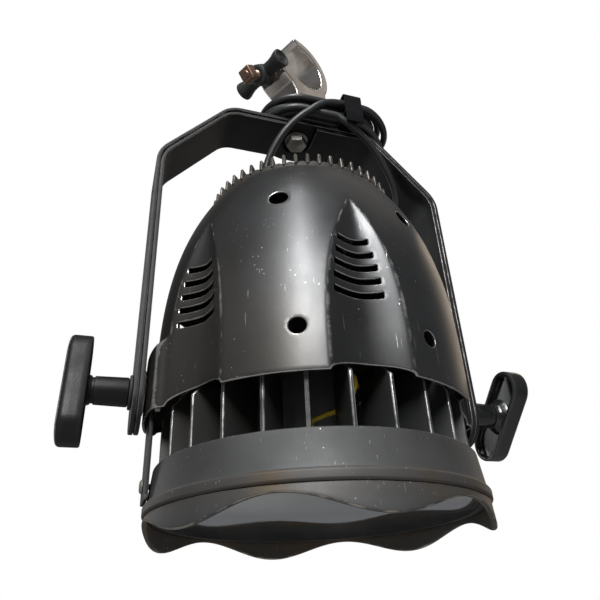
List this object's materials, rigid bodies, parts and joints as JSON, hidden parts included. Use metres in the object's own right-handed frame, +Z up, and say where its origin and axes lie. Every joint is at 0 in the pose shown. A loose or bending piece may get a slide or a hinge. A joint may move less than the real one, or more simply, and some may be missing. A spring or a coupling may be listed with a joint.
{
  "type": "par can stage light",
  "caption": "Round LED stage light in a louvred cast shell, hung in nested flat-bar brackets from a hook clamp, with tilt knobs and leads coiled at the clamp.",
  "frame": {"origin": "centre of the pipe that the hook clamp hangs on", "axes": "+Z up, +X along the tilt axis to the lamp's right, -Y towards the front; the lamp shines down -Z"},
  "size_m": [0.3812, 0.253, 0.5361],
  "materials": {
    "shell_black": "satin black paint, scuffed and scratched",
    "bar_black": "satin black powder coat, edges worn to bare metal",
    "cast_grey": "dark grey casting with brighter worn fin edges",
    "aluminium": "polished, rounded rims",
    "steel": "dull zinc plate",
    "bronze": "dull brown plated bolt",
    "plastic": "moulded black plastic, slightly glossy where handled",
    "rubber": "matte black",
    "cable": "dark grey cable jacket",
    "glass": "clear flat glass",
    "lens": "clear moulded lens",
    "board": "white solder mask",
    "yellow_wire": "yellow wire insulation",
    "tie_fabric": "black hook-and-loop strap"
  },
  "bodies": {
    "clamp": {"clamp_hook": "aluminium", "mounting_washer": "steel", "mounting_bolt": "steel"},
    "clamp_screw": {"clamp_bolt": "bronze"},
    "clamp_turner": {"clamp_handle": "plastic"},
    "yoke": {"outer_yoke": "bar_black", "front_lead": "cable", "side_lead": "cable", "lead_hank": "cable", "cable_tie": "tie_fabric", "power_plug": "plastic", "data_plug": "plastic"},
    "stand": {"stand_yoke": "bar_black"},
    "head": {"hood_ring": "shell_black", "front_band": "shell_black", "shroud_front": "shell_black", "shroud_rear": "shell_black", "front_glass": "glass", "glass_seal": "rubber", "lens_plate": "lens", "led_board": "board", "heat_sink": "cast_grey", "rear_cap": "cast_grey", "cap_screw_1": "steel", "cap_screw_2": "steel", "cap_screw_3": "steel", "cap_screw_4": "steel", "driver_bracket": "steel", "driver_module": "cast_grey", "terminal_block": "plastic", "terminal_bracket": "steel", "sink_cover": "steel", "earth_wire": "yellow_wire", "feed_wire": "rubber", "side_bracket_left": "bar_black", "side_bracket_right": "bar_black", "bracket_screw_left": "steel", "bracket_screw_right": "steel", "pivot_bush_left": "steel", "pivot_bush_right": "steel", "front_gland": "plastic", "inlet_box": "plastic", "side_gland": "plastic"},
    "left_stud": {"knob_stud_left": "steel", "knob_washer_left": "rubber"},
    "left_knob": {"knob_left": "plastic"},
    "right_stud": {"knob_stud_right": "steel", "knob_washer_right": "rubber"},
    "right_knob": {"knob_right": "plastic"}
  },
  "joints": [
    {"name": "pan", "type": "hinge", "parent": "clamp", "child": "yoke", "pos_m": [0, 0, -0.095], "axis": [0, 0, 1], "range_deg": [-155, 100]},
    {"name": "tilt", "type": "hinge", "parent": "yoke", "child": "head", "pos_m": [0, 0, -0.391], "axis": [1, 0, 0], "range_deg": [-95, 95]},
    {"name": "stand_swing", "type": "hinge", "parent": "yoke", "child": "stand", "pos_m": [0, 0, -0.391], "axis": [1, 0, 0], "range_deg": [-95, 0]},
    {"name": "left_knob_travel", "type": "slide", "parent": "head", "child": "left_stud", "axis": [-1, 0, 0], "range_m": [0, 0.003]},
    {"name": "left_knob_turn", "type": "hinge", "parent": "left_stud", "child": "left_knob", "pos_m": [-0.17, 0, -0.391], "axis": [-1, 0, 0], "range_deg": [0, 720]},
    {"name": "right_knob_travel", "type": "slide", "parent": "head", "child": "right_stud", "axis": [1, 0, 0], "range_m": [0, 0.003]},
    {"name": "right_knob_turn", "type": "hinge", "parent": "right_stud", "child": "right_knob", "pos_m": [0.17, 0, -0.391], "axis": [1, 0, 0], "range_deg": [0, 720]},
    {"name": "clamp_screw_travel", "type": "slide", "parent": "clamp", "child": "clamp_screw", "axis": [0.7021, 0.3578, 0.6157], "range_m": [-0.004, 0.005]},
    {"name": "clamp_handle_turn", "type": "hinge", "parent": "clamp_screw", "child": "clamp_turner", "pos_m": [0, 0, 0], "axis": [0.7021, 0.3578, 0.6157], "range_deg": [-950, 1190]}
  ],
  "couplings": [
    {"joint": "left_knob_travel", "follows": "left_knob_turn", "m_per_rad": 0.00023873},
    {"joint": "right_knob_travel", "follows": "right_knob_turn", "m_per_rad": 0.00023873},
    {"joint": "clamp_screw_travel", "follows": "clamp_handle_turn", "m_per_rad": 0.00023873}
  ]
}
